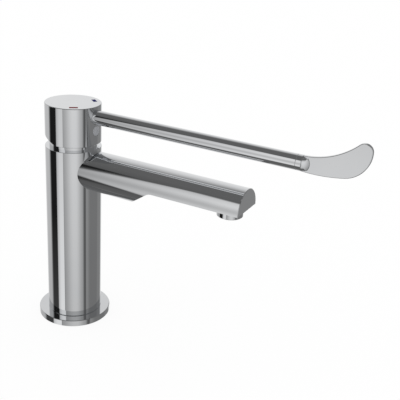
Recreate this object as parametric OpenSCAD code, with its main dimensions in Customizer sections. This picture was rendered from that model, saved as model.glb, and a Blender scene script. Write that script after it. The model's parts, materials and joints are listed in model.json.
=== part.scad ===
// Elbow lever tap: a deck-mounted basin mixer with a long horizontal lever and an upturned paddle.
// Millimetres. The origin is the centre of the foot on the deck.
// +X runs along the spout and the lever, +Z is up.
// The lever is shown closed: level, and in line with the spout.

/* [Base] */
// Outer diameter of the flange
flange_d = 61.8; // [58:0.2:80]
// Thickness of the flange
flange_h = 5.5; // [4.5:0.1:9]
// Width of the groove for the gasket
gasket_w = 4; // [3:0.1:4.5]
// Depth of the groove for the gasket
gasket_h = 2.6; // [1.5:0.1:3]
// Step from the column's side to its foot
foot_step = 2; // [1.2:0.1:2.5]

/* [Column] */
// Outer diameter of the column
body_d = 46; // [45.6:0.2:52]
// Height of the column's top above the deck
body_h = 156.2; // [140:0.2:200]
// Diameter of the recess that the hoses run up
recess_d = 36; // [32:0.2:37]
// Height of the solid block that the hoses screw into
block_h = 31; // [26:0.5:45]
// Diameter of the threaded inlets before tapping, M10x1
inlet_thread_d = 9; // [8:0.1:9.5]
// Depth of the threaded inlets
inlet_thread_l = 12; // [8:0.5:16]
// Diameter of the threaded hole for the fixing stud before tapping, M8
stud_thread_d = 6.8; // [5:0.1:7]
// Depth of the threaded hole for the fixing stud
stud_thread_l = 14; // [8:0.5:18]
// Distance of the fixing stud behind the column's axis
stud_back = 10; // [8.5:0.1:11.5]
// Diameter of the wet chamber around the cartridge
chamber_d = 38; // [37:0.1:39]

/* [Spout] */
// Diameter of the spout
spout_d = 32.9; // [30:0.1:34]
// Depth of the spout's axis below the column's top
spout_drop = 18.3; // [17.8:0.1:20.5]
// Distance of the outlet from the column's axis
spout_reach = 145; // [125:0.5:190]
// Length of the spout past the outlet's centre
spout_nose = 13.4; // [12.5:0.1:18]
// Distance from the column's axis to the start of the ramp under the spout
ramp_start = 60.3; // [50:0.1:70]
// Angle of the ramp under the spout
ramp_angle = 35.7; // [30:0.1:45]
// Radius of the blend between the ramp and the flat underside
ramp_blend = 8; // [3:0.5:12]
// Height of the flat underside below the spout's axis
flat_drop = 0.4; // [0:0.05:1.5]
// Diameter of the spigot that is brazed into the column
spigot_d = 19.4; // [18:0.2:20]
// Diameter of the bore at the root of the spout
root_bore_d = 16; // [12:0.2:16.4]
// Diameter of the long waterway
waterway_d = 10.4; // [8:0.1:10.8]
// Height of the long waterway above the spout's axis
waterway_rise = 7.5; // [6.6:0.1:7.7]

/* [Aerator] */
// Diameter of the visible ring
aerator_d = 20.2; // [19.8:0.1:22]
// Height of the visible ring
aerator_h = 7.1; // [5:0.1:9]
// Diameter of the threaded shank, M18.5x1
shank_d = 18.5; // [17.8:0.1:18.9]
// Length of the threaded shank
shank_l = 4.7; // [3.5:0.1:5]
// Diameter of the flow former
former_d = 16.2; // [15:0.1:16.6]
// Width across flats of a cell of the flow former
cell_w = 2.2; // [1.6:0.1:2.4]
// Thickness of the rubber washer
washer_h = 1.5; // [1:0.1:2]

/* [Cartridge] */
// Diameter of the cartridge
cartridge_d = 35; // [34:0.1:35.6]
// Depth of the cartridge's shoulder below the column's top
nut_seat = 4.9; // [4:0.1:5.5]
// Thickness of the shell's roof
roof_h = 3.8; // [3.4:0.1:5]
// Wall of the shell
shell_wall = 2.1; // [1.8:0.1:2.3]
// Diameter of the shell's collar
collar_d = 26.4; // [25.8:0.1:27]
// Height of the shell's collar above its shoulder
collar_h = 10.7; // [9.5:0.1:10.9]
// Diameter of the turning stem guide
guide_d = 22; // [21.4:0.1:22.8]
// Thickness of the stem guide's foot
guide_foot_h = 4.1; // [3:0.1:5]
// Diameter of the carrier and the moving disc
carrier_d = 24.8; // [24:0.1:25.4]
// Height of the carrier
carrier_h = 7.7; // [7.4:0.1:9]
// Thickness of the moving disc
moving_disc_h = 3.5; // [3:0.1:5]
// Thickness of the fixed disc
fixed_disc_h = 3.5; // [3:0.1:5]
// Height of the foot inside the shell
foot_plug_h = 4; // [3:0.1:6]
// Height of the foot under the shell
foot_rim_h = 4.4; // [4:0.1:7]
// Gap under the foot that the inlet seals close
foot_gap = 0.6; // [0.4:0.1:1]
// Distance of the inlets in front of the axis
inlet_x = 5; // [4.5:0.1:5.5]
// Distance of the inlets to each side of the axis
inlet_y = 8.5; // [8.2:0.1:8.8]
// Diameter of the waterways through the foot
inlet_d = 7; // [5:0.1:7]
// Diameter of the pivot pin
pin_d = 3; // [2.5:0.1:3.6]
// Height of the pivot above the cartridge's shoulder
pivot_rise = 3.7; // [3.2:0.1:4.2]
// Height of the stem's toe above the underside of the carrier
toe_rise = 4.5; // [4.3:0.1:4.8]
// Diameter of the stem's toe
toe_d = 6.6; // [6:0.1:7]
// Width of the square stem
stem_w = 8; // [7:0.1:8.4]
// Width of the stem's neck
stem_neck_w = 4.4; // [3.8:0.1:4.6]
// Largest tilt of the lever
tilt_max = 18; // [14:0.5:19]

/* [Neck] */
// Diameter of the dome cap
cap_d = 39.2; // [38.8:0.1:39.6]
// Height of the dome cap
cap_h = 7.8; // [7.6:0.1:8]
// Height of the straight side of the dome cap
cap_side_h = 4.8; // [4.4:0.1:5]
// Wall of the dome cap
cap_wall = 1.2; // [0.9:0.1:1.4]
// Diameter of the retaining nut's thread
nut_d = 37.8; // [37:0.1:38.4]
// Width across flats of the retaining nut's hexagon
nut_flats = 29; // [28.4:0.1:29.4]

/* [Hub] */
// Diameter of the hub
hub_d = 45.8; // [45.2:0.1:50]
// Height of the hub at the front
hub_h = 31.7; // [31:0.1:40]
// Gap between the column's top and the hub
hub_gap = 4.3; // [4:0.1:6]
// Wall of the hub's skirt
hub_wall = 2.2; // [1.6:0.1:2.3]
// Depth of the hub's hollow over the dome cap
hub_hollow = 8; // [7.8:0.1:9]
// Angle of the bevel under the rear of the hub
hub_bevel = 18.6; // [17:0.1:21]
// Diameter of the grub screw, M6
grub_d = 6; // [4:0.1:6]
// Length of the grub screw
grub_l = 10; // [7:0.5:11]
// Diameter of the plug over the grub screw
plug_d = 8.2; // [7:0.1:9]
// Gap between the plug and the rod
plug_gap = 1.3; // [0.8:0.1:2]
// Length of a temperature mark
mark_l = 6.8; // [4:0.1:8]
// Width of a temperature mark
mark_w = 3.2; // [0.6:0.1:4]
// Distance of a temperature mark from the axis
mark_r = 17.5; // [14:0.1:19]
// Angle of a temperature mark from the lever
mark_angle = 52; // [40:1:70]

/* [Lever] */
// Diameter of the rod
rod_d = 11.6; // [10:0.1:12]
// Depth of the rod's axis below the top of the hub
lever_drop = 8.7; // [7:0.1:9]
// Distance from the axis to the seam between the rod and the paddle
seam_x = 192.9; // [150:0.1:240]
// Diameter of the stud that holds the rod, M8
rod_stud_d = 8; // [6:0.1:8.4]
// Length of the stud that holds the rod
rod_stud_l = 25; // [18:0.5:40]
// Diameter of the stud that holds the paddle, M6
paddle_stud_d = 6; // [4:0.1:6.6]
// Length of the stud that holds the paddle
paddle_stud_l = 13; // [10:0.5:20]

/* [Paddle] */
// Thickness of the blade
blade_t = 3; // [2:0.1:5]
// Length of the paddle's collar
collar_l = 3.9; // [3:0.1:7]
// Height of the domed boss at the blade's root
root_h = 9; // [8:0.1:10]
// Length of the boss past the collar
root_l = 5.6; // [5:0.1:7]
// Radius of the boss's round end
root_end_r = 7.3; // [6.5:0.1:9]
// Radius of the boss's domed sides
root_side_r = 20; // [16:0.5:30]
// Slope of the domed sides where they run into the blade
root_slope = 43; // [36:1:46]
// Radius of the belly, the round lower edge of the blade
belly_r = 20.5; // [19:0.1:23]
// Distance of the belly's centre from the seam
belly_u = 30.5; // [27:0.1:40]
// Height of the belly's centre above the rod's axis
belly_v = 15.9; // [14.5:0.1:16.5]
// Slope of the lower edge where the keel runs into the belly
belly_slope = 11; // [8:0.5:14]
// Radius of the keel, the long lower edge before the belly
keel_r = 111; // [90:1:140]
// Radius of the hollow upper edge
hollow_r = 54.5; // [50:0.5:65]
// Distance of the hollow's centre from the seam
hollow_u = 3.1; // [0:0.1:6]
// Lowest height of the hollow upper edge above the rod's axis
hollow_v = 5.7; // [4:0.1:5.7]
// Radius of the blade's tip
tip_r = 5.8; // [4:0.1:8]

/* [Hidden] */
$fn = 96;

// Clearances
fit = 0.05;
run_gap = 0.3;
bore_gap = 0.2;
film = 0.02;
soft_fit = 0.03;
slot_gap = 0.2;
toe_gap = 0.35;
lug_gap = 0.1;
peg_gap = 0.2;
guide_sink = 0.5;

// Cuts run past the face that they open by this much
over = 1;

// Curves that touch cross each other by this much
lap = 0.05;

// Colours
CHROME = [0.80, 0.81, 0.82];
BRASS = [0.78, 0.62, 0.32];
STEEL = [0.62, 0.63, 0.65];
RUBBER = [0.09, 0.09, 0.10];
WHITE_PLASTIC = [0.90, 0.90, 0.88];
GREY_PLASTIC = [0.55, 0.57, 0.60];
CERAMIC = [0.94, 0.93, 0.90];
RED = [0.62, 0.05, 0.06];
BLUE = [0.08, 0.10, 0.48];

// Small edge breaks that catch the light
edge = 0.4;
fine_edge = 0.2;
foot_edge = 0.6;

// Column
body_r = body_d / 2;
foot_r = body_r - foot_step;
recess_r = recess_d / 2;

// Heights of the cartridge, from its shoulder down to the floor of the pocket
shoulder_z = body_h - nut_seat;
roof_z = shoulder_z - roof_h;
guide_foot_top = roof_z - run_gap;
guide_foot_z = guide_foot_top - guide_foot_h;
carrier_gap = 0.4;
carrier_top = guide_foot_z - carrier_gap;
carrier_z = carrier_top - carrier_h;
moving_disc_z = carrier_z - moving_disc_h;
fixed_disc_top = moving_disc_z - film;
fixed_disc_z = fixed_disc_top - fixed_disc_h;
shell_z = fixed_disc_z - foot_plug_h;
foot_z = shell_z - foot_rim_h;
floor_z = foot_z - foot_gap;
block_z = floor_z - block_h;
collar_top = shoulder_z + collar_h;
pivot_z = shoulder_z + pivot_rise;
toe_z = carrier_z + toe_rise;

// Widths of the cartridge
cartridge_r = cartridge_d / 2;
guide_bore_r = cartridge_r + bore_gap;
guide_bore_l = 8.3;
shell_r = cartridge_r - shell_wall;
collar_r = collar_d / 2;
guide_r = guide_d / 2;
guide_wall = 2.8;
guide_foot_gap = 0.9;
guide_foot_r = shell_r - guide_foot_gap;
foot_rim_r = cartridge_r - run_gap;
disc_r = shell_r - bore_gap;
carrier_r = carrier_d / 2;
pin_sink = 1.5;
arm = pivot_z - toe_z;
travel = arm * sin(tilt_max);
carrier_x = -travel / 2;
chamber_r = chamber_d / 2;
chamber_top = shoulder_z - guide_bore_l;

// Water seals of the cartridge
inlet_seal_w = 1.8;
inlet_seal_r = inlet_d / 2 + inlet_seal_w;
inlet_seal_seat = 1.5;
disc_seal_w = 1.4;
disc_seal_r = inlet_d / 2 + disc_seal_w;
disc_seal_seat = 1.2;
outlet_x = -6.5;
outlet_d = 7;
outlet_floor = 1;
outlet_roof = 0.4;
peg_d = 3.8;
peg_l = 3.6;
peg_x = -9;
peg_y = 9;
lug_w = 3;
lug_l = 1.6;
lug_sink = 0.6;
lug_h = fixed_disc_h - lug_sink;
port_step = 0.5;
disc_port_d = inlet_d - 2 * port_step;
pocket_l = 2;
pocket_lap = 1.4;
pocket_front = inlet_x - disc_port_d / 2 - pocket_lap;
pocket_rim = 2.2;
pocket_r = carrier_r - pocket_rim;
key_d = 3;
key_l = 1.5;
key_root = 0.5;
key_inset = 3;
key_y = carrier_r - key_inset;
ring_section = 1.9;
ring_seat = 2.4;

// Neck
cap_r = cap_d / 2;
nut_r = nut_d / 2;
nut_bore_r = collar_r + bore_gap;
nut_land_h = 2.9;
nut_hex_h = 2.2;
nut_hex_z = body_h + nut_land_h;
nut_top = nut_hex_z + nut_hex_h;
cap_side_w = 2;
cap_bore_r = cap_r - cap_side_w;
land_gap = 0.6;
nut_land_r = cap_bore_r - land_gap;
cap_ring_z = body_h + nut_land_h / 2;
cap_ring_r = cap_bore_r - ring_section / 2;
cap_top = body_h + cap_h;
cap_overhang = 1.4;
cap_mouth_r = collar_r - cap_overhang;
cap_lip = 1;
cap_roof_l = 2.6;
cap_rise = 0.4;
housing_ring_z = shoulder_z - roof_h / 2;
housing_ring_r = guide_bore_r - ring_section / 2;

// Hub
hub_r = hub_d / 2;
hub_z = body_h + hub_gap;
hub_top = hub_z + hub_h;
lever_z = hub_top - lever_drop;
rod_r = rod_d / 2;
hollow_top = hub_z + hub_hollow;
hollow_hub_r = hub_r - hub_wall;
socket_roof = 1.25;
socket_top = lever_z - rod_stud_d / 2 - socket_roof;
stem_top = socket_top - run_gap;
socket_fit = 0.1;
socket_w = stem_w + 2 * socket_fit;
boss_r = 9.5;
relief_h = 6;
relief_web = 2.5;
relief_step = 1.5;
relief_r = hollow_hub_r - relief_step;
plug_r = plug_d / 2;
grub_z = lever_z - rod_r - plug_gap - plug_r;
grub_tip_x = stem_w / 2 + film;
grub_end_x = grub_tip_x + grub_l;
grub_hex_flats = 3;
grub_hex_l = 4;
plug_room = 2;
plug_seat_x = grub_end_x + plug_room;
plug_proud = 0.05;
plug_l = hub_r + plug_proud - plug_seat_x;
mark_seat = 0.4;
mark_proud = 0.04;

// Spout
spout_r = spout_d / 2;
spout_z = body_h - spout_drop;
spout_end = spout_reach + spout_nose;
flat_z = spout_z - flat_drop;
spigot_r = spigot_d / 2;
spigot_inset = 3.8;
spigot_root = 3;
root_bore_past = 2;
root_bore_end = ramp_start + root_bore_past;
waterway_z = spout_z + waterway_rise;
waterway_lap = 14;
waterway_start = root_bore_end - waterway_lap;

// Aerator
aerator_r = aerator_d / 2;
shank_r = shank_d / 2;
former_r = former_d / 2;
aerator_gap = 0.15;
aerator_z = flat_z - aerator_h;
aerator_top = flat_z - aerator_gap;
shank_top = flat_z + shank_l;
lip_h = 0.9;
lip_w = 0.8;
lip_r = former_r - lip_w;
former_z = aerator_z + lip_h;
former_sink = 1.4;
former_top = shank_top - former_sink;
washer_lap = 1.4;
washer_r = former_r - washer_lap;
cell_rib = 0.7;
former_rim = 0.8;
strainer_h = 3.2;
strainer_r = washer_r - run_gap;
strainer_taper = 1.6;
strainer_top_r = strainer_r - strainer_taper;
strainer_wall = 0.9;
strainer_rim = 0.8;
strainer_room = 3;
socket_depth = shank_l + washer_h + strainer_room;

// Lever
stud_end_gap = 0.5;
rod_seat_l = 6.9;
rod_seat_x = hub_r - rod_seat_l;
rod_stud_root = 10;
rod_stud_x = rod_seat_x - rod_stud_root;
rod_stud_end = rod_stud_x + rod_stud_l + stud_end_gap;
paddle_stud_wall = 0.9;
paddle_stud_x = seam_x + collar_l - paddle_stud_wall - paddle_stud_l;
paddle_stud_end = paddle_stud_x + paddle_stud_l + stud_end_gap;

// Paddle: the tip's circle touches the belly from inside and the hollow from outside,
// and the keel's circle touches the belly from outside
belly = [belly_u, belly_v];
hollow = [hollow_u, hollow_v + hollow_r];
tip = circle_meet(belly, belly_r - tip_r, hollow, hollow_r + tip_r);
tip_low = belly + belly_r * unit(tip - belly);
tip_high = hollow + hollow_r * unit(tip - hollow);
belly_down = [sin(belly_slope), -cos(belly_slope)];
belly_touch = belly + belly_r * belly_down;
keel = belly_touch - keel_r * belly_down + [0, lap];
blade_root_l = 1.5;
blade_root = collar_l - blade_root_l;
blade_inset = 0.8;
blade_root_low = blade_inset - rod_r;
blade_start = collar_l - lap;

// Boss at the blade's root: a bevel at the collar's end, then a domed tongue with a round end
collar_bevel = 1;
bevel_u = collar_l + collar_bevel;
boss_inset = 0.2;
boss_end = collar_l + root_l;
dome_past = 0.2;
dome_end = boss_end + dome_past;
dome_u = dome_end - root_side_r * sin(root_slope);
dome_y = root_side_r * cos(root_slope) - blade_t / 2;

far = 200;

function unit(v) = v / norm(v);

// The meeting point of two circles that lies to the right of the line from the first centre to the second
function circle_meet(c1, r1, c2, r2) =
    let (d = norm(c2 - c1), e = (c2 - c1) / d)
    let (a = (r1 * r1 - r2 * r2 + d * d) / (2 * d), h = sqrt(r1 * r1 - a * a))
    c1 + a * e + h * [e[1], -e[0]];

// A cylinder along +X that starts at x
module rod_x(r, x, l, y = 0, z = 0) {
    translate([x, y, z])
        rotate([0, 90, 0])
            cylinder(r = r, h = l);
}

// Turns a section about X: its x is the radius, its y runs along +X
module turned_x(x, z = 0) {
    translate([x, 0, z])
        rotate([0, 90, 0])
            rotate_extrude()
                children();
}

// A ring of rectangular section
module washer(r_out, r_in, z, h) {
    translate([0, 0, z])
        difference() {
            cylinder(r = r_out, h = h);
            translate([0, 0, -over])
                cylinder(r = r_in, h = h + 2 * over);
        }
}

// A ring of round section
module o_ring(r, section, z) {
    translate([0, 0, z])
        rotate_extrude()
            translate([r, 0])
                circle(d = section);
}

// The children at both inlets
module at_inlets() {
    for (side = [-1, 1])
        translate([inlet_x, side * inlet_y, 0])
            children();
}

// The children at both locating pegs
module at_pegs() {
    for (side = [-1, 1])
        translate([peg_x, side * peg_y, 0])
            children();
}

// Round escutcheon with a gasket groove in its underside
module base_flange() {
    groove_r = (foot_r + flange_d / 2) / 2;
    r_out = flange_d / 2;
    r_in = foot_r + fit;
    color(CHROME)
        difference() {
            rotate_extrude()
                polygon([[r_in, 0], [r_out - fine_edge, 0], [r_out, fine_edge], [r_out, flange_h - edge],
                    [r_out - edge, flange_h], [r_in, flange_h]]);
            washer(groove_r + gasket_w / 2, groove_r - gasket_w / 2, -over, gasket_h + over);
        }
}

module base_gasket() {
    groove_r = (foot_r + flange_d / 2) / 2;
    half_w = gasket_w / 2 - soft_fit;
    color(RUBBER)
        washer(groove_r + half_w, groove_r - half_w, 0, gasket_h - soft_fit);
}

// Hollow column: hose recess below, solid block with the ports, cartridge pocket above
module body() {
    color(CHROME)
        difference() {
            rotate_extrude()
                polygon([[0, 0], [foot_r, 0], [foot_r, flange_h], [body_r - foot_edge, flange_h],
                    [body_r, flange_h + foot_edge], [body_r, body_h - fine_edge],
                    [body_r - fine_edge, body_h], [0, body_h]]);
            translate([0, 0, -over])
                cylinder(r = recess_r, h = block_z + over);
            at_inlets() {
                translate([0, 0, block_z - over])
                    cylinder(d = inlet_thread_d, h = inlet_thread_l + over);
                translate([0, 0, block_z])
                    cylinder(d = inlet_d, h = block_h + over);
            }
            translate([-stud_back, 0, block_z - over])
                cylinder(d = stud_thread_d, h = stud_thread_l + over);
            at_pegs()
                translate([0, 0, floor_z - peg_l])
                    cylinder(d = peg_d + 2 * peg_gap, h = peg_l + over);
            translate([0, 0, floor_z])
                cylinder(r = chamber_r, h = chamber_top - floor_z);
            translate([0, 0, floor_z])
                cylinder(r = guide_bore_r, h = body_h - floor_z + over);
            translate([0, 0, shoulder_z])
                cylinder(r = nut_r + fit, h = nut_seat + over);
            rod_x(spigot_r + fit, 0, body_d, z = spout_z);
        }
}

// The room under the spout: below the ramp and below the flat underside, with a blend where they meet
module under_spout() {
    low = spout_z - spout_r - over;
    corner_x = ramp_start + (flat_z - spout_z + spout_r) / tan(ramp_angle);
    tangent = ramp_blend * tan(ramp_angle / 2);
    low_x = ramp_start - over / tan(ramp_angle);
    blend_x = corner_x + tangent;
    end_x = spout_end + over;
    steps = 8;
    blend = [for (i = [0 : steps])
        let (a = ramp_angle * (1 - i / steps))
        [blend_x - ramp_blend * sin(a), flat_z - ramp_blend * (1 - cos(a))]];
    rotate([90, 0, 0])
        translate([0, 0, -spout_d])
            linear_extrude(2 * spout_d)
                polygon(concat([[low_x, low]], blend, [[end_x, flat_z], [end_x, low]]));
}

// Round at the root, a half-round bar at the outlet
module spout() {
    color(CHROME)
        difference() {
            union() {
                difference() {
                    turned_x(0, spout_z)
                        polygon([[0, 0], [spout_r, 0], [spout_r, spout_end - edge],
                            [spout_r - edge, spout_end], [0, spout_end]]);
                    cylinder(r = body_r + fit, h = body_h + over);
                    under_spout();
                }
                rod_x(spigot_r, body_r - spigot_inset, spigot_inset + spigot_root, z = spout_z);
            }
            rod_x(root_bore_d / 2, 0, root_bore_end, z = spout_z);
            rod_x(waterway_d / 2, waterway_start, spout_reach - waterway_start, z = waterway_z);
            translate([spout_reach, 0, flat_z - over])
                cylinder(r = shank_r + fit, h = socket_depth + over);
        }
}

// Visible ring with a threaded shank above it and a lip below that holds the flow former
module aerator_housing() {
    color(CHROME)
        translate([spout_reach, 0, 0])
            rotate_extrude()
                polygon([[lip_r, aerator_z], [aerator_r - edge, aerator_z], [aerator_r, aerator_z + edge],
                    [aerator_r, aerator_top - fine_edge], [aerator_r - fine_edge, aerator_top],
                    [shank_r, aerator_top], [shank_r, shank_top], [former_r + fit, shank_top],
                    [former_r + fit, former_z], [lip_r, former_z]]);
}

module aerator_seal() {
    color(RUBBER)
        translate([spout_reach, 0, 0])
            washer(shank_r - soft_fit, washer_r, shank_top, washer_h);
}

// Flow former with a honeycomb of cells
module aerator_insert() {
    pitch = cell_w + cell_rib;
    rings = floor((former_r - former_rim) / pitch - 0.5);
    depth = former_top - former_z;
    color(WHITE_PLASTIC)
        translate([spout_reach, 0, 0])
            difference() {
                translate([0, 0, former_z])
                    cylinder(r = former_r, h = depth);
                for (i = [-rings : rings], j = [-rings : rings])
                    if (abs(i + j) <= rings)
                        translate([(i + j / 2) * pitch, j * pitch * sin(60), former_z - over])
                            rotate(30)
                                cylinder(d = cell_w / cos(30), h = depth + 2 * over, $fn = 6);
            }
}

// Slotted cup that stands on the flow former and keeps grit out
module aerator_strainer() {
    slots = 12;
    slot_w = 1;
    z = former_top;
    top = z + strainer_h;
    color(GREY_PLASTIC)
        translate([spout_reach, 0, 0])
            difference() {
                rotate_extrude()
                    polygon([[strainer_r - strainer_wall, z], [strainer_r, z], [strainer_top_r, top],
                        [0, top], [0, top - strainer_wall],
                        [strainer_top_r - strainer_wall, top - strainer_wall]]);
                for (i = [0 : slots - 1])
                    rotate(i * 360 / slots)
                        translate([strainer_top_r / 2, -slot_w / 2, z + strainer_rim])
                            cube([strainer_r, slot_w, strainer_h - strainer_rim - strainer_wall]);
            }
}

// Shell with a roof, a groove for its O-ring and a collar that carries the stem guide
module cartridge_housing() {
    color(WHITE_PLASTIC)
        difference() {
            union() {
                translate([0, 0, shell_z])
                    cylinder(r = cartridge_r, h = shoulder_z - shell_z);
                translate([0, 0, shoulder_z - over])
                    cylinder(r = collar_r, h = collar_h + over);
            }
            translate([0, 0, shell_z - over])
                cylinder(r = shell_r, h = roof_z - shell_z + over);
            translate([0, 0, roof_z - over])
                cylinder(r = guide_r + fit, h = collar_top - roof_z + 2 * over);
            washer(cartridge_r + over, housing_ring_r - ring_section / 2,
                housing_ring_z - ring_seat / 2, ring_seat);
        }
}

module housing_ring() {
    color(RUBBER)
        o_ring(housing_ring_r, ring_section - soft_fit, housing_ring_z);
}

// Foot of the cartridge: two inlets, an outlet that turns out to the rear, pegs below and lugs above
module cartridge_base() {
    color(GREY_PLASTIC)
        difference() {
            union() {
                translate([0, 0, foot_z])
                    cylinder(r = foot_rim_r, h = foot_rim_h);
                translate([0, 0, foot_z])
                    cylinder(r = shell_r - fit, h = fixed_disc_z - foot_z);
                at_pegs()
                    translate([0, 0, foot_z - peg_l])
                        cylinder(d = peg_d, h = peg_l + over);
                disc_lugs(0);
            }
            at_inlets() {
                translate([0, 0, foot_z - over])
                    cylinder(d = inlet_d, h = fixed_disc_z - foot_z + 2 * over);
                translate([0, 0, foot_z - over])
                    cylinder(r = inlet_seal_r, h = inlet_seal_seat + over);
                translate([0, 0, fixed_disc_z - disc_seal_seat])
                    cylinder(r = disc_seal_r, h = disc_seal_seat + over);
            }
            translate([outlet_x, 0, foot_z + outlet_floor])
                cylinder(d = outlet_d, h = fixed_disc_z - foot_z);
            translate([outlet_x - far, -outlet_d / 2, foot_z + outlet_floor])
                cube([far, outlet_d, foot_rim_h - outlet_floor - outlet_roof]);
        }
}

// Two lugs that keep the fixed disc from turning
module disc_lugs(gap) {
    for (side = [0, 180])
        rotate(side)
            translate([-lug_w / 2 - gap, disc_r - lug_l - gap, fixed_disc_z - over])
                cube([lug_w + 2 * gap, lug_l - fit + 2 * gap, lug_h + over + gap]);
}

module inlet_seals() {
    color(RUBBER)
        at_inlets()
            washer(inlet_seal_r - soft_fit, inlet_d / 2, floor_z, foot_gap + inlet_seal_seat);
}

module disc_seals() {
    color(RUBBER)
        at_inlets()
            washer(disc_seal_r - soft_fit, inlet_d / 2, fixed_disc_z - disc_seal_seat, disc_seal_seat);
}

module fixed_disc() {
    color(CERAMIC)
        difference() {
            translate([0, 0, fixed_disc_z])
                cylinder(r = disc_r, h = fixed_disc_h);
            at_inlets()
                translate([0, 0, fixed_disc_z - over])
                    cylinder(d = disc_port_d, h = fixed_disc_h + 2 * over);
            translate([outlet_x, 0, fixed_disc_z - over])
                cylinder(d = outlet_d, h = fixed_disc_h + 2 * over);
            disc_lugs(lug_gap);
        }
}

// Disc with a mixing pocket underneath and two key holes on top
module moving_disc() {
    color(CERAMIC)
        difference() {
            translate([carrier_x, 0, moving_disc_z])
                cylinder(r = carrier_r, h = moving_disc_h);
            intersection() {
                translate([carrier_x, 0, moving_disc_z - over])
                    cylinder(r = pocket_r, h = pocket_l + over);
                translate([pocket_front - far, -far / 2, moving_disc_z - over])
                    cube([far, far, pocket_l + over]);
            }
            carrier_keys(fit, film);
        }
}

// Keys that drive the moving disc
module carrier_keys(gap, end_gap) {
    for (side = [-1, 1])
        translate([carrier_x, side * key_y, carrier_z - key_l + key_root - end_gap])
            cylinder(d = key_d + 2 * gap, h = key_l + end_gap);
}

// Carrier with a slot for the stem's toe
module disc_carrier() {
    slot_x = toe_d + 2 * toe_gap;
    slot_y = stem_w + 2 * slot_gap;
    color(GREY_PLASTIC)
        difference() {
            union() {
                translate([carrier_x, 0, carrier_z])
                    cylinder(r = carrier_r, h = carrier_h);
                carrier_keys(0, 0);
            }
            translate([-slot_x / 2, -slot_y / 2, toe_z - toe_d / 2 - run_gap])
                cube([slot_x, slot_y, carrier_h]);
        }
}

// Turret that turns in the collar. Its slot stops the stem when the lever is level
module stem_guide() {
    stop = stem_w / 2 + run_gap;
    low_swing = stem_w / 2 / cos(tilt_max) + (pivot_z - guide_foot_z) * tan(tilt_max);
    high_swing = stem_w / 2 / cos(tilt_max) + (collar_top - pivot_z) * tan(tilt_max) + run_gap;
    reach = min(low_swing, guide_r - guide_wall);
    slot_y = stem_w + 2 * slot_gap;
    top = collar_top - guide_sink;
    color(GREY_PLASTIC)
        difference() {
            union() {
                translate([0, 0, guide_foot_z])
                    cylinder(r = guide_foot_r, h = guide_foot_h);
                translate([0, 0, guide_foot_z])
                    cylinder(r = guide_r, h = top - guide_foot_z);
            }
            translate([-stop, -slot_y / 2, guide_foot_z - over])
                cube([stop + reach, slot_y, pivot_z - guide_foot_z + over]);
            translate([-high_swing, -slot_y / 2, pivot_z - over])
                cube([high_swing + stop, slot_y, top - pivot_z + 2 * over]);
            pin_y(pin_d / 2 + film, guide_d);
        }
}

// A cylinder along Y through the pivot
module pin_y(r, l) {
    translate([0, l / 2, pivot_z])
        rotate([90, 0, 0])
            cylinder(r = r, h = l);
}

module pivot_pin() {
    color(STEEL)
        pin_y(pin_d / 2, guide_d - 2 * pin_sink);
}

// Square stem with a slim neck and a round toe
module stem() {
    neck_top = guide_foot_top;
    color(BRASS)
        difference() {
            union() {
                translate([-stem_w / 2, -stem_w / 2, neck_top])
                    cube([stem_w, stem_w, stem_top - neck_top]);
                translate([-stem_neck_w / 2, -stem_w / 2, toe_z])
                    cube([stem_neck_w, stem_w, neck_top - toe_z + over]);
                translate([0, stem_w / 2, toe_z])
                    rotate([90, 0, 0])
                        cylinder(d = toe_d, h = stem_w);
            }
            pin_y(pin_d / 2 + fit, 2 * stem_w);
        }
}

// Ring nut with a thread, a land for an O-ring and a hexagon
module retaining_nut() {
    color(BRASS)
        difference() {
            union() {
                translate([0, 0, shoulder_z])
                    cylinder(r = nut_r, h = nut_seat);
                translate([0, 0, body_h - over])
                    cylinder(r = nut_land_r, h = nut_hex_z - body_h + over);
                translate([0, 0, nut_hex_z - over])
                    cylinder(d = nut_flats / cos(30), h = nut_top - nut_hex_z + over, $fn = 6);
            }
            translate([0, 0, shoulder_z - over])
                cylinder(r = nut_bore_r, h = nut_top - shoulder_z + 2 * over);
            washer(cap_r, cap_ring_r - ring_section / 2, cap_ring_z - ring_seat / 2, ring_seat);
        }
}

module cap_ring() {
    color(RUBBER)
        o_ring(cap_ring_r, ring_section - soft_fit, cap_ring_z);
}

// Neck ring with a straight side and a domed shoulder
module dome_cap() {
    steps = 10;
    side_z = body_h + cap_side_h;
    rise = cap_top - side_z;
    run = cap_r - cap_mouth_r - cap_lip;
    dome = [for (i = [0 : steps])
        let (a = 90 * i / steps)
        [cap_r - run * (1 - cos(a)), side_z + rise * sin(a)]];
    inside_z = cap_top - cap_wall;
    color(CHROME)
        rotate_extrude()
            polygon(concat([[cap_bore_r, body_h], [cap_r, body_h]], dome,
                [[cap_mouth_r, cap_top], [cap_mouth_r, inside_z], [cap_mouth_r + cap_roof_l, inside_z],
                [cap_bore_r, side_z + cap_rise]]));
}

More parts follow.
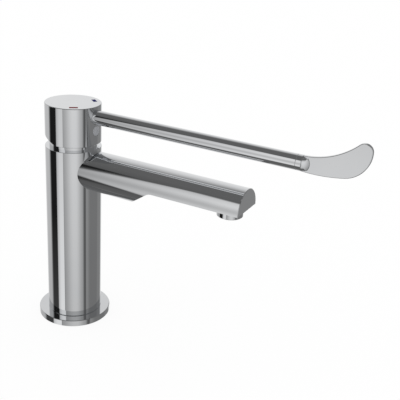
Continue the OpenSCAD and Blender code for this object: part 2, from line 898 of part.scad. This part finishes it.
// Head of the lever: skirt over the dome cap, square socket, seat for the rod and hole for the grub screw
module lever_hub() {
    color(CHROME)
        difference() {
            rotate_extrude()
                polygon([[0, hub_z], [hub_r - fine_edge, hub_z], [hub_r, hub_z + fine_edge],
                    [hub_r, hub_top - edge], [hub_r - edge, hub_top], [0, hub_top]]);
            translate([0, -hub_d, hub_z])
                rotate([0, hub_bevel, 0])
                    translate([-far, 0, -far])
                        cube([far, 2 * hub_d, far]);
            translate([0, 0, hub_z - over])
                cylinder(r = hollow_hub_r, h = hub_hollow + over);
            hub_relief();
            translate([-socket_w / 2, -socket_w / 2, hollow_top - over])
                cube([socket_w, socket_w, socket_top - hollow_top + over]);
            rod_x(grub_d / 2 + fit, 0, hub_d, z = grub_z);
            rod_x(plug_r + fit, plug_seat_x, hub_d, z = grub_z);
            rod_x(rod_r + fit, rod_seat_x, hub_d, z = lever_z);
            rod_x(rod_stud_d / 2 + fit, rod_stud_x - stud_end_gap, hub_d, z = lever_z);
            temperature_mark(-mark_angle, film);
            temperature_mark(mark_angle, film);
        }
}

// Ring-shaped relief around the boss of the square socket, left solid at the front for the grub screw
module hub_relief() {
    difference() {
        washer(relief_r, boss_r, hollow_top - over, relief_h + over);
        translate([0, -plug_r - relief_web, hollow_top - 2 * over])
            cube([hub_d, plug_d + 2 * relief_web, relief_h + 4 * over]);
    }
}

// A dash across the radius, let into the top of the hub
module temperature_mark(angle, gap) {
    rotate(angle)
        translate([mark_r - mark_w / 2 - gap, -mark_l / 2 - gap, hub_top - mark_seat])
            cube([mark_w + 2 * gap, mark_l + 2 * gap, mark_seat + (gap > 0 ? over : mark_proud)]);
}

module hot_mark() {
    color(RED)
        temperature_mark(-mark_angle, 0);
}

module cold_mark() {
    color(BLUE)
        temperature_mark(mark_angle, 0);
}

module grub_screw() {
    color(STEEL)
        difference() {
            rod_x(grub_d / 2, grub_tip_x, grub_l, z = grub_z);
            translate([grub_end_x - grub_hex_l, 0, grub_z])
                rotate([0, 90, 0])
                    cylinder(d = grub_hex_flats / cos(30), h = grub_hex_l + over, $fn = 6);
        }
}

module screw_plug() {
    color(GREY_PLASTIC)
        turned_x(plug_seat_x, grub_z)
            polygon([[0, 0], [plug_r, 0], [plug_r, plug_l - fine_edge],
                [plug_r - fine_edge, plug_l], [0, plug_l]]);
}

module lever_stud() {
    color(STEEL)
        rod_x(rod_stud_d / 2, rod_stud_x, rod_stud_l, z = lever_z);
}

module lever_rod() {
    length = seam_x - rod_seat_x;
    color(CHROME)
        difference() {
            turned_x(rod_seat_x, lever_z)
                polygon([[0, 0], [rod_r - fine_edge, 0], [rod_r, fine_edge], [rod_r, length - fine_edge],
                    [rod_r - fine_edge, length], [0, length]]);
            rod_x(rod_stud_d / 2 + fit, rod_seat_x - over, rod_stud_end - rod_seat_x + over, z = lever_z);
            rod_x(paddle_stud_d / 2 + fit, paddle_stud_x - stud_end_gap, far, z = lever_z);
        }
}

module paddle_stud() {
    color(STEEL)
        rod_x(paddle_stud_d / 2, paddle_stud_x, paddle_stud_l, z = lever_z);
}

// Side view of the blade, with the seam at zero and the rod's axis at zero height
module blade_outline() {
    high = belly_v + belly_r;
    low = belly_v - belly_r - tip_r;
    past = 4 * tip_r;
    outward = unit([tip_low[1] - tip_high[1], tip_high[0] - tip_low[0]]) * -past;
    difference() {
        union() {
            translate([blade_root, blade_root_low])
                square([2 * blade_root_l, high - blade_root_low]);
            intersection() {
                translate(keel)
                    circle(r = keel_r);
                translate([blade_start, low])
                    square([belly_touch[0] - blade_start, high - low]);
            }
            intersection() {
                translate(belly)
                    circle(r = belly_r);
                translate([belly_touch[0] - tip_r, low])
                    square([2 * belly_r, high - low]);
            }
        }
        translate(hollow)
            circle(r = hollow_r);
        polygon([tip_low, tip_high, tip_high + outward, tip_low + outward]);
    }
    translate(tip)
        circle(r = tip_r + lap);
}

// Domed tongue with a round end that carries the blade
module blade_boss() {
    intersection() {
        translate([0, 0, -root_h])
            linear_extrude(2 * root_h)
                intersection_for (side = [-1, 1])
                    translate([dome_u, side * dome_y])
                        circle(r = root_side_r);
        rotate([90, 0, 0])
            translate([0, 0, -rod_d])
                linear_extrude(2 * rod_d)
                    intersection() {
                        translate([boss_end - root_end_r, 0])
                            circle(r = root_end_r);
                        translate([blade_root, -root_h / 2])
                            square([2 * root_end_r, root_h]);
                    }
        rod_x(rod_r - boss_inset, 0, 2 * boss_end);
    }
}

// Flat upturned blade with a collar and a boss at its root
module lever_paddle() {
    color(CHROME)
        translate([seam_x, 0, lever_z])
            difference() {
                union() {
                    rotate([90, 0, 0])
                        translate([0, 0, -blade_t / 2])
                            linear_extrude(blade_t)
                                blade_outline();
                    turned_x(0)
                        polygon([[0, 0], [rod_r - fine_edge, 0], [rod_r, fine_edge], [rod_r, collar_l],
                            [rod_r - collar_bevel, bevel_u], [0, bevel_u]]);
                    blade_boss();
                }
                rod_x(paddle_stud_d / 2 + fit, -over, paddle_stud_end - seam_x + over);
            }
}

base_flange();
base_gasket();
body();
spout();
aerator_housing();
aerator_seal();
aerator_insert();
aerator_strainer();
cartridge_housing();
housing_ring();
cartridge_base();
inlet_seals();
disc_seals();
fixed_disc();
moving_disc();
disc_carrier();
stem_guide();
pivot_pin();
stem();
retaining_nut();
cap_ring();
dome_cap();
lever_hub();
grub_screw();
screw_plug();
hot_mark();
cold_mark();
lever_stud();
lever_rod();
paddle_stud();
lever_paddle();
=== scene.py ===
"""Looks of an elbow lever tap: polished chrome in a plain white studio."""
import json
import math

import bmesh
import bpy
from mathutils import Matrix, Vector


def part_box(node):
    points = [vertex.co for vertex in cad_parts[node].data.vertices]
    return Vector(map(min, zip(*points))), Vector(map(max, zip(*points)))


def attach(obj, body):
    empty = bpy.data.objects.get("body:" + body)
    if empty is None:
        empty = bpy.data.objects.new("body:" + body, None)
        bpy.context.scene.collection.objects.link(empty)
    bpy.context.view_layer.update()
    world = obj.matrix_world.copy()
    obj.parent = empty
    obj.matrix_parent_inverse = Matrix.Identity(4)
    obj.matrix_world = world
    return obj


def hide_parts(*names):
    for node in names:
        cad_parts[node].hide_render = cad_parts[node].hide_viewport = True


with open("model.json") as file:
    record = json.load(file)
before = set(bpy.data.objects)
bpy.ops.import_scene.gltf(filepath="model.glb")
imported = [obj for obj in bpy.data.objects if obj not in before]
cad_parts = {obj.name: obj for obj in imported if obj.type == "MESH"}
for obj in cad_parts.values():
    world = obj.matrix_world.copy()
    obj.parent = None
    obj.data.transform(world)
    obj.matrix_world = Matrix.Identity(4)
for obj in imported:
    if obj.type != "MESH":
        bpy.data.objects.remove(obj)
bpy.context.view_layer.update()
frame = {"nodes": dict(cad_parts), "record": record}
scene = bpy.context.scene
scene.view_settings.view_transform = "Standard"

MM = 0.001

# Materials: two colours and two roughnesses, between which a noise wanders.
# Patch and grain are the scales of the noise, bump is the strength of the grain's relief
LOOKS = {
    "chrome": dict(dark=(0.785, 0.795, 0.81), light=(0.81, 0.82, 0.83), rough=(0.02, 0.045),
                   metallic=1.0, patch=25, grain=900),
    "brass": dict(dark=(0.62, 0.45, 0.18), light=(0.74, 0.57, 0.27), rough=(0.22, 0.36),
                  metallic=1.0, patch=180, grain=2500, bump=0.02),
    "steel": dict(dark=(0.52, 0.53, 0.55), light=(0.62, 0.63, 0.65), rough=(0.22, 0.38),
                  metallic=1.0, patch=220, grain=2500, bump=0.02),
    "rubber": dict(dark=(0.012, 0.012, 0.013), light=(0.022, 0.022, 0.024), rough=(0.55, 0.75),
                   patch=300, grain=3000, bump=0.15),
    "white_plastic": dict(dark=(0.78, 0.78, 0.75), light=(0.84, 0.84, 0.82), rough=(0.35, 0.5),
                          patch=120, grain=2600, bump=0.08),
    "grey_plastic": dict(dark=(0.31, 0.32, 0.34), light=(0.37, 0.38, 0.40), rough=(0.35, 0.5),
                         patch=120, grain=2600, bump=0.08),
    "ceramic": dict(dark=(0.82, 0.81, 0.77), light=(0.88, 0.87, 0.84), rough=(0.15, 0.25),
                    patch=200, grain=3000, bump=0.03),
    "red_enamel": dict(dark=(0.15, 0.008, 0.010), light=(0.18, 0.012, 0.014), rough=(0.5, 0.6),
                       patch=1500, grain=5000, bump=0.02, gloss=0.03),
    "blue_enamel": dict(dark=(0.004, 0.004, 0.085), light=(0.006, 0.006, 0.11), rough=(0.5, 0.6),
                        patch=1500, grain=5000, bump=0.02, gloss=0.03),
}

# Range of the noise that spreads over the two colours, and share of the patches in the roughness
NOISE_LOW = 0.35
NOISE_HIGH = 0.65
PATCH_SHARE = 0.6
PATCH_DETAIL = 2.0
GRAIN_DETAIL = 3.0
BUMP_DEPTH = 0.1 * MM

# Paddle, in millimetres: u runs from the seam along the lever, v is the height above the rod's axis
COLLAR_L = 3.9
COLLAR_EDGE = 0.5
COLLAR_BEVEL = 1.0
COLLAR_BEVEL_L = 0.8
COLLAR_END_INSET = 3.0
BEVEL_SLOPE = math.radians(45)
SEAM_EDGE = 0.2
STUD_HOLE_R = 3.05
STUD_HOLE_L = 3.5

# The end of the collar runs out longer above and below, and the power gathers it there
TAIL_L = 3.2
TAIL_POWER = 8

# Domed boss between the collar and the blade
BOSS_START = 2.6
BOSS_L = 5.6
BOSS_END = COLLAR_L + BOSS_L
BOSS_END_R = 7.3
BOSS_CORNER_R = 1.6
BOSS_H = 9.0
BOSS_EDGE = 0.3
BOSS_INSET = 0.2
DOME_R = 18.0
DOME_SHORT = 0.1
DOME_END = BOSS_END - DOME_SHORT
DOME_SLOPE = math.radians(46)
DOME_RINGS = (0.02, 0.15, 0.3, 0.45, 0.6, 0.75, 0.9)

# Flat blade, bounded by the arcs of keel, belly, tip and hollow
BLADE_T = 3.0
BLADE_LAP = 0.05
BLADE_START = COLLAR_L - BLADE_LAP
RIM_R = 0.6
KEEL_R = 111.0
BELLY = Vector((30.5, 15.9))
BELLY_R = 20.5
BELLY_SLOPE = 11.0
TIP_R = 5.8
HOLLOW_R = 54.5
HOLLOW_U = 3.1
HOLLOW_V = 5.7
HOLLOW = Vector((HOLLOW_U, HOLLOW_V + HOLLOW_R))

# Steps along the paddle's arcs, around its edges and around the collar
LONG_ARC = 60
SHORT_ARC = 40
BOSS_END_ARC = 24
BOSS_CORNER_ARC = 12
BOSS_BACK_ARC = 8
EDGE_STEPS = 6
BEVEL_STEPS = 5
COLLAR_STEPS = 96
SHARP_ANGLE = math.radians(40)

# Studio that the chrome mirrors, in degrees: turn goes around it, lift is the height above the horizon.
# A span is (first, last, softness of the first end, softness of the last end)
STUDIO_TURN = -144.0
EYE_LIFT = -4.0

# Walls from the right side on, laid over each other, which fade towards the ceiling and the floor
WALL_LEVEL = 0.205
WALLS = (
    ((-153, -118, 4, 20), 0.26),
    ((-117, -20, 10, 9), 0.60),
    ((-18, 49, 6, 1), 0.09),
    ((141, 154, 2, 9), 0.31),
    ((132.5, 141, 2.5, 2.5), 0.10),
)
WALL_REACH = 58
CEILING_LEVEL = 0.13

# White sheet at the back
SHEET_TURN = (-116, -65, 10, 15)
SHEET_REACH = 68
SHEET_LEVEL = 0.84

# Bright wall at the front, dimmer at its ends
FRONT_TURN = (49, 129, 1.5, 4)
FRONT_REACH = 50
FRONT_END_LEVEL = 0.42
FRONT_MIDDLE_TURN = (68, 114, 22, 16)
FRONT_MIDDLE_LEVEL = 0.78

# Black flag, lit a little from below
FLAG_TURN = (-15, 17, 4, 2)
FLAG_LIFT = (-37, 35, 4, 3)
FLAG_LIT_LIFT = (-33, -24)
FLAG_LEVELS = (0.055, 0.012)

# Softbox beside the flag, which leans a little and is dimmer across its middle and towards the flag
SOFTBOX_TURN = (18, 49, 1.5, 1.5)
SOFTBOX_LIFT = (-42, 41, 4, 4)
SOFTBOX_LEAN = 0.05
SOFTBOX_FADE = 28
SOFTBOX_LEVELS = (0.57, 0.83)
SOFTBOX_DIM_TURN = (18, 34)
SOFTBOX_DIM_SHARE = 0.5

# Floor of white paper, lit from below
FLOOR_REACH = 30.0
FLOOR_DROP = 0.2 * MM
PAPER_WHITE = 0.98
PAPER_GLOW = 0.9

# Camera, fitted to the photograph: degrees to the right of the front, above the horizon and of roll,
# place in metres and focal length in pixels of the photograph
CAMERA_TURN = 26.231
CAMERA_LIFT = 22.75
CAMERA_ROLL = 3.84
CAMERA_PLACE = Vector((0.3366, -0.4410, 0.3424))
FOCAL_PIXELS = 696.7
PHOTO_WIDTH = 400
SENSOR_WIDTH = 36
CLIP_START = 0.01


# Shader nodes
def link(tree, source, target):
    """Links two sockets."""
    tree.links.new(source, target)


def feed(tree, value, socket):
    """Sets a socket to a number, or links another socket to it."""
    if isinstance(value, (int, float)):
        socket.default_value = value
    else:
        link(tree, value, socket)


def math_node(tree, operation, a, b=0.0, clamp=False):
    """A Math node fed with sockets or numbers."""
    node = tree.nodes.new("ShaderNodeMath")
    node.operation = operation
    node.use_clamp = clamp
    feed(tree, a, node.inputs[0])
    feed(tree, b, node.inputs[1])
    return node.outputs[0]


def map_range(tree, value, from_low, from_high, to_low, to_high, kind="LINEAR"):
    """Maps one range of values to another."""
    node = tree.nodes.new("ShaderNodeMapRange")
    node.interpolation_type = kind
    node.inputs["From Min"].default_value = from_low
    node.inputs["From Max"].default_value = from_high
    node.inputs["To Min"].default_value = to_low
    node.inputs["To Max"].default_value = to_high
    link(tree, value, node.inputs["Value"])
    return node.outputs["Result"]


def noise(tree, coords, scale, detail):
    """A noise texture's value in the part's own metres."""
    node = tree.nodes.new("ShaderNodeTexNoise")
    node.inputs["Scale"].default_value = scale
    node.inputs["Detail"].default_value = detail
    link(tree, coords, node.inputs["Vector"])
    return node.outputs["Fac"]


# Materials
def surface(name, dark, light, rough, patch, grain, metallic=0.0, bump=0.0, gloss=0.5):
    """A material with patchy colour, patchy gloss and a fine grain."""
    material = bpy.data.materials.new(name)
    material.use_nodes = True
    tree = material.node_tree
    shader = tree.nodes["Principled BSDF"]
    shader.inputs["Metallic"].default_value = metallic
    shader.inputs["Specular IOR Level"].default_value = gloss
    coords = tree.nodes.new("ShaderNodeTexCoord").outputs["Object"]
    patches = noise(tree, coords, patch, PATCH_DETAIL)
    fine = noise(tree, coords, grain, GRAIN_DETAIL)
    colour = tree.nodes.new("ShaderNodeMix")
    colour.data_type = "RGBA"
    colour.inputs["A"].default_value = (*dark, 1)
    colour.inputs["B"].default_value = (*light, 1)
    link(tree, map_range(tree, patches, NOISE_LOW, NOISE_HIGH, 0, 1), colour.inputs["Factor"])
    link(tree, colour.outputs["Result"], shader.inputs["Base Color"])
    coarse_part = math_node(tree, "MULTIPLY", patches, PATCH_SHARE)
    fine_part = math_node(tree, "MULTIPLY", fine, 1 - PATCH_SHARE)
    both = math_node(tree, "ADD", coarse_part, fine_part)
    link(tree, map_range(tree, both, NOISE_LOW, NOISE_HIGH, *rough), shader.inputs["Roughness"])
    if bump > 0:
        relief = tree.nodes.new("ShaderNodeBump")
        relief.inputs["Strength"].default_value = bump
        relief.inputs["Distance"].default_value = BUMP_DEPTH
        link(tree, fine, relief.inputs["Height"])
        link(tree, relief.outputs["Normal"], shader.inputs["Normal"])
    return material


materials = {slot: surface(slot, **look) for slot, look in LOOKS.items()}

for entry in frame["record"]["subparts"]:
    node = frame["nodes"][entry["node"]]
    node.data.materials.clear()
    node.data.materials.append(materials[entry["material_slot"]])


# Paddle
def on_circle(centre, radius, degrees):
    """The point of a circle at an angle."""
    angle = math.radians(degrees)
    return centre + radius * Vector((math.cos(angle), math.sin(angle)))


def degrees_to(centre, point):
    """The angle at which a point is seen from a circle's centre."""
    return math.degrees(math.atan2(point[1] - centre[1], point[0] - centre[0]))


def low_degrees(centre, radius, u):
    """The angle of the point of a circle's lower half that lies at u."""
    return -90 + math.degrees(math.asin((u - centre[0]) / radius))


def arc_loop(arcs, inset):
    """Points along arcs, moved inwards. An arc is (centre, radius, first angle, last angle, steps)."""
    points = []
    for centre, radius, first, last, steps in arcs:
        side = inset if last > first else -inset
        for i in range(steps + 1):
            points.append(on_circle(centre, radius - side, first + (last - first) * i / steps))
    return points


def blade_arcs():
    """The blade's outline: keel, belly, tip and hollow, each touching the next."""
    belly_start = BELLY_SLOPE - 90
    keel = BELLY + (BELLY_R - KEEL_R) * on_circle(Vector((0, 0)), 1.0, belly_start)
    across = HOLLOW - BELLY
    near = BELLY_R - TIP_R
    far = HOLLOW_R + TIP_R
    along = (near ** 2 - far ** 2 + across.length_squared) / (2 * across.length)
    aside = math.sqrt(near ** 2 - along ** 2)
    unit = across.normalized()
    tip = BELLY + along * unit + aside * Vector((unit[1], -unit[0]))
    tip_low = degrees_to(BELLY, tip)
    tip_high = degrees_to(HOLLOW, tip)
    return [(keel, KEEL_R, low_degrees(keel, KEEL_R, BLADE_START), belly_start, SHORT_ARC),
            (BELLY, BELLY_R, belly_start, tip_low, LONG_ARC),
            (tip, TIP_R, tip_low, tip_high + 180, SHORT_ARC),
            (HOLLOW, HOLLOW_R, tip_high, low_degrees(HOLLOW, HOLLOW_R, BLADE_START), LONG_ARC)]


def add_loops(mesh, loops):
    """Joins closed loops of points to a skin with a face at each end."""
    rings = [[mesh.verts.new(point) for point in loop] for loop in loops]
    for first, second in zip(rings, rings[1:]):
        for i in range(len(first)):
            j = (i + 1) % len(first)
            mesh.faces.new((first[i], first[j], second[j], second[i]))
    mesh.faces.new(reversed(rings[0]))
    mesh.faces.new(rings[-1])


def plate_loops(arcs, half, edge, middle=None):
    """Loops of a plate in the plane of the lever: half gives its half thickness at a point, edge rounds
    its rim, and a plate that bulges has rings that shrink to a middle."""
    rings = []
    if middle:
        rim = arc_loop(arcs, edge)
        for share in DOME_RINGS:
            rings.append(([middle + share * (point - middle) for point in rim], 0.0))
    for i in range(EDGE_STEPS + 1):
        angle = math.pi / 2 * i / EDGE_STEPS
        rings.append((arc_loop(arcs, edge * (1 - math.sin(angle))), edge * (1 - math.cos(angle))))
    loops = []
    for sign, side in ((-1, rings), (1, rings[::-1])):
        for ring, sink in side:
            loops.append([(u, sign * (half(u, v) - sink), v) for u, v in ring])
    return loops


def add_blade(mesh):
    """The flat blade with a rounded rim."""
    add_loops(mesh, plate_loops(blade_arcs(), lambda u, v: BLADE_T / 2, RIM_R))


def boss_half(u, v, round_r):
    """Half the thickness of the domed boss, which stays inside the round of the collar."""
    centre_u = DOME_END - DOME_R * math.sin(DOME_SLOPE)
    sink = DOME_R * math.cos(DOME_SLOPE) - BLADE_T / 2
    dome = math.sqrt(DOME_R ** 2 - (u - centre_u) ** 2 - v ** 2) - sink
    return min(dome, math.sqrt(round_r ** 2 - v ** 2))


def add_boss(mesh, round_r):
    """The domed tongue with a round end between the collar and the blade."""
    centre = Vector((BOSS_END - BOSS_END_R, 0))
    rise = BOSS_H / 2 - BOSS_CORNER_R
    reach = BOSS_END_R - BOSS_CORNER_R
    corner_u = centre[0] + math.sqrt(reach ** 2 - rise ** 2)
    corner = math.degrees(math.asin(rise / reach))
    back_u = BOSS_START + BOSS_CORNER_R
    arcs = [(Vector((corner_u, -rise)), BOSS_CORNER_R, -90, -corner, BOSS_CORNER_ARC),
            (centre, BOSS_END_R, -corner, corner, BOSS_END_ARC),
            (Vector((corner_u, rise)), BOSS_CORNER_R, corner, 90, BOSS_CORNER_ARC),
            (Vector((back_u, rise)), BOSS_CORNER_R, 90, 180, BOSS_BACK_ARC),
            (Vector((back_u, -rise)), BOSS_CORNER_R, 180, 270, BOSS_BACK_ARC)]
    middle = Vector((COLLAR_L + COLLAR_BEVEL, 0))
    add_loops(mesh, plate_loops(arcs, lambda u, v: boss_half(u, v, round_r), BOSS_EDGE, middle))


def add_collar(mesh, rod_r):
    """The collar, drilled for the stud, with a bevelled end that runs out longer above and below."""
    profile = [(STUD_HOLE_L, STUD_HOLE_R), (0, STUD_HOLE_R)]
    for i in range(BEVEL_STEPS + 1):
        a = math.pi / 2 * (1 - i / BEVEL_STEPS)
        profile.append((SEAM_EDGE * (1 - math.sin(a)), rod_r - SEAM_EDGE * (1 - math.cos(a))))
    round_u = COLLAR_L - COLLAR_EDGE * math.tan(BEVEL_SLOPE / 2)
    for i in range(BEVEL_STEPS + 1):
        a = BEVEL_SLOPE * i / BEVEL_STEPS
        profile.append((round_u + COLLAR_EDGE * math.sin(a), rod_r - COLLAR_EDGE * (1 - math.cos(a))))
    angles = [2 * math.pi * i / COLLAR_STEPS for i in range(COLLAR_STEPS)]
    loops = [[(u, r * math.cos(a), r * math.sin(a)) for a in angles] for u, r in profile]
    reach = COLLAR_L + COLLAR_BEVEL_L
    for inset, tail in ((COLLAR_BEVEL, TAIL_L), (COLLAR_END_INSET, 0.0)):
        r = rod_r - inset
        loops.append([(reach + tail * math.sin(a) ** TAIL_POWER, r * math.cos(a), r * math.sin(a))
                      for a in angles])
    add_loops(mesh, loops)


def make_paddle():
    """The paddle with soft edges, in place of its CAD solid."""
    rod_low, rod_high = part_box("lever_rod")
    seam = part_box("lever_paddle")[0][0]
    axis_z = (rod_low[2] + rod_high[2]) / 2
    rod_r = (rod_high[2] - rod_low[2]) / 2 / MM
    mesh = bmesh.new()
    add_blade(mesh)
    add_boss(mesh, rod_r - BOSS_INSET)
    add_collar(mesh, rod_r)
    bmesh.ops.recalc_face_normals(mesh, faces=mesh.faces)
    place = Matrix.Translation((seam, 0, axis_z)) @ Matrix.Scale(MM, 4)
    bmesh.ops.transform(mesh, matrix=place, verts=mesh.verts)
    data = bpy.data.meshes.new("paddle")
    mesh.to_mesh(data)
    mesh.free()
    data.shade_smooth()
    data.set_sharp_from_angle(angle=SHARP_ANGLE)
    paddle = bpy.data.objects.new("paddle", data)
    scene.collection.objects.link(paddle)
    paddle.modifiers.new("normals", "WEIGHTED_NORMAL").keep_sharp = True
    data.materials.append(materials["chrome"])
    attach(paddle, "lever")
    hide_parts("lever_paddle")


make_paddle()


# World
def window(tree, value, span):
    """One within a span, with soft ends."""
    low, high, low_soft, high_soft = span
    rise = map_range(tree, value, low - low_soft, low + low_soft, 0, 1, "SMOOTHSTEP")
    fall = map_range(tree, value, high - high_soft, high + high_soft, 1, 0, "SMOOTHSTEP")
    return math_node(tree, "MULTIPLY", rise, fall)


def layer(tree, below, mask, level):
    """Lays a level over the one below where the mask is one."""
    node = tree.nodes.new("ShaderNodeMix")
    link(tree, mask, node.inputs["Factor"])
    feed(tree, below, node.inputs["A"])
    feed(tree, level, node.inputs["B"])
    return node.outputs["Result"]


def off_eye(tree, lift):
    """Degrees above or below the middle height of the studio."""
    return math_node(tree, "ABSOLUTE", math_node(tree, "SUBTRACT", lift, EYE_LIFT))


def upright(tree, lift, reach):
    """One at the middle height of a wall, falling to none at a reach in degrees."""
    fall = math_node(tree, "POWER", math_node(tree, "DIVIDE", off_eye(tree, lift), reach), 2.0)
    return math_node(tree, "SUBTRACT", 1.0, fall, True)


def directions(tree):
    """The turn and the lift of every direction, in degrees."""
    mapping = tree.nodes.new("ShaderNodeMapping")
    mapping.inputs["Rotation"].default_value[2] = math.radians(-STUDIO_TURN)
    link(tree, tree.nodes.new("ShaderNodeTexCoord").outputs["Generated"], mapping.inputs["Vector"])
    split = tree.nodes.new("ShaderNodeSeparateXYZ")
    link(tree, mapping.outputs["Vector"], split.inputs[0])
    turn = math_node(tree, "ARCTAN2", split.outputs["Y"], split.outputs["X"])
    lift = math_node(tree, "ARCSINE", split.outputs["Z"])
    return math_node(tree, "DEGREES", turn), math_node(tree, "DEGREES", lift)


def add_walls(tree, turn, lift):
    """The walls around the part, between a dark ceiling and a dark floor."""
    wall = WALL_LEVEL
    for span, level in WALLS:
        wall = layer(tree, wall, window(tree, turn, span), level)
    return layer(tree, CEILING_LEVEL, upright(tree, lift, WALL_REACH), wall)


def add_sheet(tree, room, turn, lift):
    """The white sheet at the back."""
    mask = math_node(tree, "MULTIPLY", window(tree, turn, SHEET_TURN), upright(tree, lift, SHEET_REACH))
    return layer(tree, room, mask, SHEET_LEVEL)


def add_front(tree, room, turn, lift):
    """The bright wall at the front."""
    middle = window(tree, turn, FRONT_MIDDLE_TURN)
    front = layer(tree, FRONT_END_LEVEL, middle, FRONT_MIDDLE_LEVEL)
    mask = math_node(tree, "MULTIPLY", window(tree, turn, FRONT_TURN), upright(tree, lift, FRONT_REACH))
    return layer(tree, room, mask, front)


def add_flag(tree, room, turn, lift):
    """The black flag."""
    mask = math_node(tree, "MULTIPLY", window(tree, turn, FLAG_TURN), window(tree, lift, FLAG_LIFT))
    return layer(tree, room, mask, map_range(tree, lift, *FLAG_LIT_LIFT, *FLAG_LEVELS))


def add_softbox(tree, room, turn, lift):
    """The softbox beside the flag."""
    edge = math_node(tree, "SUBTRACT", turn, math_node(tree, "MULTIPLY", lift, SOFTBOX_LEAN))
    panel = map_range(tree, off_eye(tree, lift), 0, SOFTBOX_FADE, *SOFTBOX_LEVELS, "SMOOTHSTEP")
    from_flag = math_node(tree, "SQRT", map_range(tree, edge, *SOFTBOX_DIM_TURN, 0, 1))
    panel = math_node(tree, "MULTIPLY", panel, map_range(tree, from_flag, 0, 1, SOFTBOX_DIM_SHARE, 1))
    mask = math_node(tree, "MULTIPLY", window(tree, edge, SOFTBOX_TURN), window(tree, lift, SOFTBOX_LIFT))
    return layer(tree, room, mask, panel)


def make_world():
    """Plain white for the camera and for plain light, and the studio in the mirror of the chrome."""
    world = bpy.data.worlds.new("studio")
    scene.world = world
    world.use_nodes = True
    tree = world.node_tree
    tree.nodes.clear()
    turn, lift = directions(tree)
    room = add_walls(tree, turn, lift)
    for add in (add_sheet, add_front, add_flag, add_softbox):
        room = add(tree, room, turn, lift)
    mirror = tree.nodes.new("ShaderNodeBackground")
    link(tree, room, mirror.inputs["Color"])
    plain = tree.nodes.new("ShaderNodeBackground")
    plain.inputs["Color"].default_value = (1, 1, 1, 1)
    path = tree.nodes.new("ShaderNodeLightPath")
    choice = tree.nodes.new("ShaderNodeMixShader")
    link(tree, path.outputs["Is Glossy Ray"], choice.inputs["Fac"])
    link(tree, plain.outputs[0], choice.inputs[1])
    link(tree, mirror.outputs[0], choice.inputs[2])
    out = tree.nodes.new("ShaderNodeOutputWorld")
    link(tree, choice.outputs[0], out.inputs["Surface"])


make_world()


# Floor
def make_paper():
    """White paper that glows, so that only a faint shadow shows on it."""
    paper = bpy.data.materials.new("paper")
    paper.use_nodes = True
    tree = paper.node_tree
    tree.nodes.clear()
    diffuse = tree.nodes.new("ShaderNodeBsdfDiffuse")
    diffuse.inputs["Color"].default_value = (PAPER_WHITE, PAPER_WHITE, PAPER_WHITE, 1)
    glow = tree.nodes.new("ShaderNodeEmission")
    both = tree.nodes.new("ShaderNodeMixShader")
    both.inputs["Fac"].default_value = PAPER_GLOW
    link(tree, diffuse.outputs[0], both.inputs[1])
    link(tree, glow.outputs[0], both.inputs[2])
    out = tree.nodes.new("ShaderNodeOutputMaterial")
    link(tree, both.outputs[0], out.inputs["Surface"])
    return paper


def make_floor():
    """A wide sheet of paper just under the part, which the chrome doesn't mirror."""
    signs = ((-1, -1), (1, -1), (1, 1), (-1, 1))
    corners = [(x * FLOOR_REACH, y * FLOOR_REACH, 0) for x, y in signs]
    floor_mesh = bpy.data.meshes.new("floor")
    floor_mesh.from_pydata(corners, [], [(0, 1, 2, 3)])
    floor_mesh.materials.append(make_paper())
    floor = bpy.data.objects.new("floor", floor_mesh)
    scene.collection.objects.link(floor)
    floor.location.z = -FLOOR_DROP
    floor.visible_glossy = False


make_floor()


# Camera
def make_camera():
    """The photograph's camera."""
    camera_data = bpy.data.cameras.new("camera")
    camera_data.sensor_width = SENSOR_WIDTH
    camera_data.lens = SENSOR_WIDTH * FOCAL_PIXELS / PHOTO_WIDTH
    camera_data.clip_start = CLIP_START
    camera = bpy.data.objects.new("camera", camera_data)
    scene.collection.objects.link(camera)
    turn = Matrix.Rotation(math.radians(CAMERA_TURN), 4, "Z")
    tilt = Matrix.Rotation(math.radians(90 - CAMERA_LIFT), 4, "X")
    roll = Matrix.Rotation(math.radians(CAMERA_ROLL), 4, "Z")
    camera.matrix_world = Matrix.Translation(CAMERA_PLACE) @ turn @ tilt @ roll
    scene.camera = camera


make_camera()
